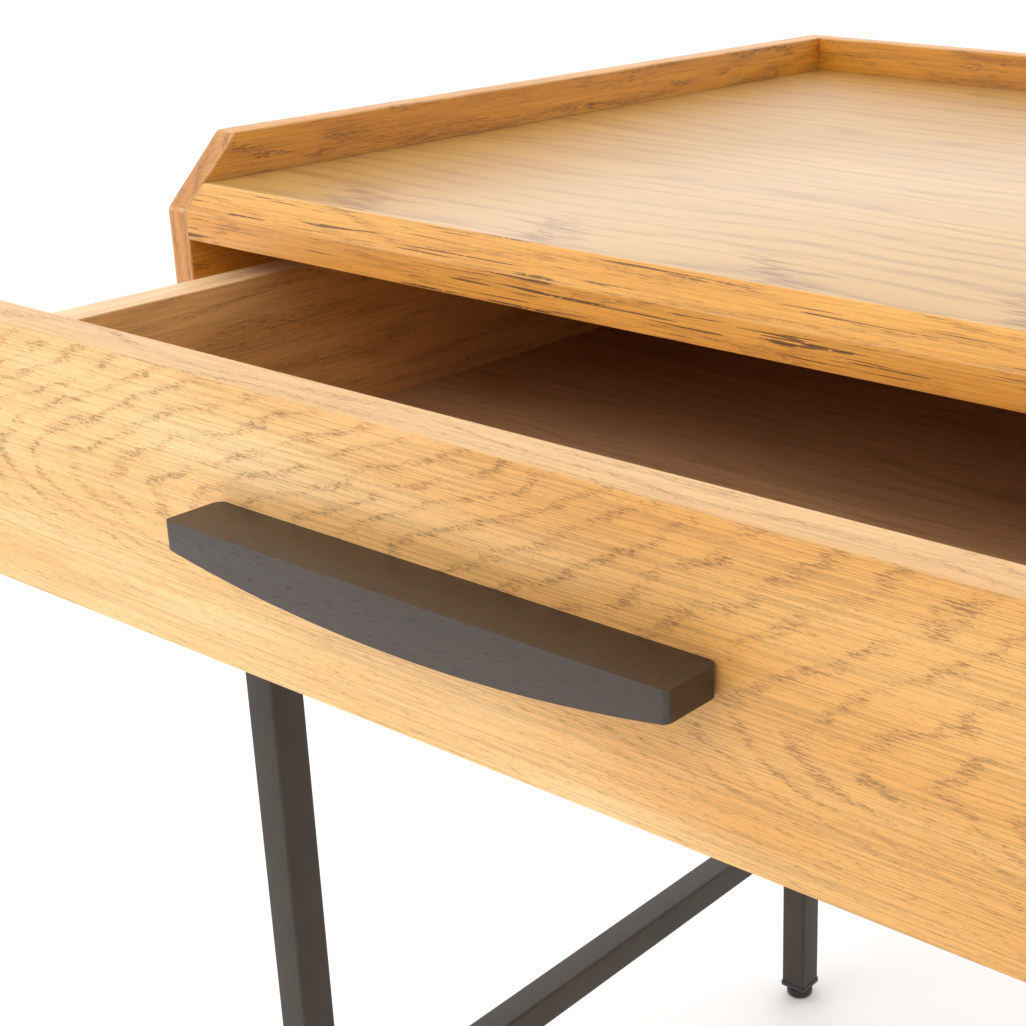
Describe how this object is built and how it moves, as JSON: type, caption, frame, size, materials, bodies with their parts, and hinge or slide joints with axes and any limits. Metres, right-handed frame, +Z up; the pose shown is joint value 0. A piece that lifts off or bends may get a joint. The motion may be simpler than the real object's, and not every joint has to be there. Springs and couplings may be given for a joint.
{
  "type": "side table with drawer",
  "caption": "Square side table: oak-veneered case with a raised, chamfered gallery, drawer on ball-bearing runners with a dark boat-shaped pull, black tube frame on levelling feet.",
  "frame": {"origin": "on the floor, at the middle of the overall width and of the overall depth with the drawer in its stored, part-open position", "axes": "+Z up, +X to the right seen from the front, -Y to the front: the drawer opens towards -Y"},
  "size_m": [0.476, 0.5252, 0.5736],
  "materials": {
    "oak_top": "satin lacquered oak veneer, pale and glossy where it takes the light",
    "oak_case": "satin lacquered oak veneer, warm brown with dark pores",
    "oak_front": "satin lacquered oak veneer with cathedral grain",
    "oak_box": "matt oak veneer, straight grain",
    "board_brown": "dark brown grained board",
    "dark_wood": "dark stained oak, open grain, low sheen",
    "beech": "unfinished beech",
    "black_powder": "matt black-brown powder coat",
    "zinc_steel": "zinc plated steel",
    "cage_plastic": "natural acetal",
    "ball_steel": "polished steel",
    "black_plastic": "black moulded plastic"
  },
  "bodies": {
    "table": {"tabletop": "oak_top", "bottom_panel": "oak_case", "side_panel_left": "oak_case", "side_panel_right": "oak_case", "back_panel": "oak_case", "case_dowels": "beech", "runner_cabinet_left": "zinc_steel", "runner_cabinet_right": "zinc_steel", "runner_screws_cabinet": "zinc_steel", "leg_front_left": "black_powder", "leg_front_right": "black_powder", "leg_rear_left": "black_powder", "leg_rear_right": "black_powder", "side_stretcher_left": "black_powder", "side_stretcher_right": "black_powder", "top_rail_left": "black_powder", "top_rail_right": "black_powder", "top_rail_front": "black_powder", "top_rail_rear": "black_powder", "frame_screws": "zinc_steel", "leg_plug_front_left": "black_plastic", "leg_plug_front_right": "black_plastic", "leg_plug_rear_left": "black_plastic", "leg_plug_rear_right": "black_plastic"},
    "drawer": {"drawer_front": "oak_front", "drawer_side_left": "oak_box", "drawer_side_right": "oak_box", "drawer_back": "oak_box", "drawer_bottom": "board_brown", "drawer_dowels": "beech", "drawer_bottom_screws": "zinc_steel", "pull_handle": "dark_wood", "pull_screws": "zinc_steel", "runner_drawer_left": "zinc_steel", "runner_drawer_right": "zinc_steel", "runner_screws_drawer": "zinc_steel"},
    "middle_left": {"runner_middle_left": "zinc_steel"},
    "outer_cage_left": {"ball_cage_outer_left": "cage_plastic", "bearing_balls_outer_left": "ball_steel"},
    "inner_cage_left": {"ball_cage_inner_left": "cage_plastic", "bearing_balls_inner_left": "ball_steel"},
    "middle_right": {"runner_middle_right": "zinc_steel"},
    "outer_cage_right": {"ball_cage_outer_right": "cage_plastic", "bearing_balls_outer_right": "ball_steel"},
    "inner_cage_right": {"ball_cage_inner_right": "cage_plastic", "bearing_balls_inner_right": "ball_steel"},
    "foot_front_left": {"foot_glide_front_left": "black_plastic", "foot_stud_front_left": "zinc_steel"},
    "foot_front_right": {"foot_glide_front_right": "black_plastic", "foot_stud_front_right": "zinc_steel"},
    "foot_rear_left": {"foot_glide_rear_left": "black_plastic", "foot_stud_rear_left": "zinc_steel"},
    "foot_rear_right": {"foot_glide_rear_right": "black_plastic", "foot_stud_rear_right": "zinc_steel"}
  },
  "joints": [
    {"name": "drawer_slide", "type": "slide", "parent": "table", "child": "drawer", "axis": [0, -1, 0], "range_m": [-0.1022, 0.2478]},
    {"name": "middle_slide_left", "type": "slide", "parent": "table", "child": "middle_left", "axis": [0, -1, 0], "range_m": [-0.0516, 0.1244]},
    {"name": "outer_cage_slide_left", "type": "slide", "parent": "table", "child": "outer_cage_left", "axis": [0, -1, 0], "range_m": [-0.02605, 0.06245]},
    {"name": "inner_cage_slide_left", "type": "slide", "parent": "table", "child": "inner_cage_left", "axis": [0, -1, 0], "range_m": [-0.07715, 0.18635]},
    {"name": "middle_slide_right", "type": "slide", "parent": "table", "child": "middle_right", "axis": [0, -1, 0], "range_m": [-0.0516, 0.1244]},
    {"name": "outer_cage_slide_right", "type": "slide", "parent": "table", "child": "outer_cage_right", "axis": [0, -1, 0], "range_m": [-0.02605, 0.06245]},
    {"name": "inner_cage_slide_right", "type": "slide", "parent": "table", "child": "inner_cage_right", "axis": [0, -1, 0], "range_m": [-0.07715, 0.18635]},
    {"name": "foot_level_front_left", "type": "slide", "parent": "table", "child": "foot_front_left", "axis": [0, 0, -1], "range_m": [0, 0.006]},
    {"name": "foot_level_front_right", "type": "slide", "parent": "table", "child": "foot_front_right", "axis": [0, 0, -1], "range_m": [0, 0.006]},
    {"name": "foot_level_rear_left", "type": "slide", "parent": "table", "child": "foot_rear_left", "axis": [0, 0, -1], "range_m": [0, 0.006]},
    {"name": "foot_level_rear_right", "type": "slide", "parent": "table", "child": "foot_rear_right", "axis": [0, 0, -1], "range_m": [0, 0.006]}
  ],
  "couplings": [
    {"joint": "middle_slide_left", "follows": "drawer_slide", "ratio": 0.5},
    {"joint": "outer_cage_slide_left", "follows": "drawer_slide", "ratio": 0.25},
    {"joint": "inner_cage_slide_left", "follows": "drawer_slide", "ratio": 0.75},
    {"joint": "middle_slide_right", "follows": "drawer_slide", "ratio": 0.5},
    {"joint": "outer_cage_slide_right", "follows": "drawer_slide", "ratio": 0.25},
    {"joint": "inner_cage_slide_right", "follows": "drawer_slide", "ratio": 0.75}
  ]
}
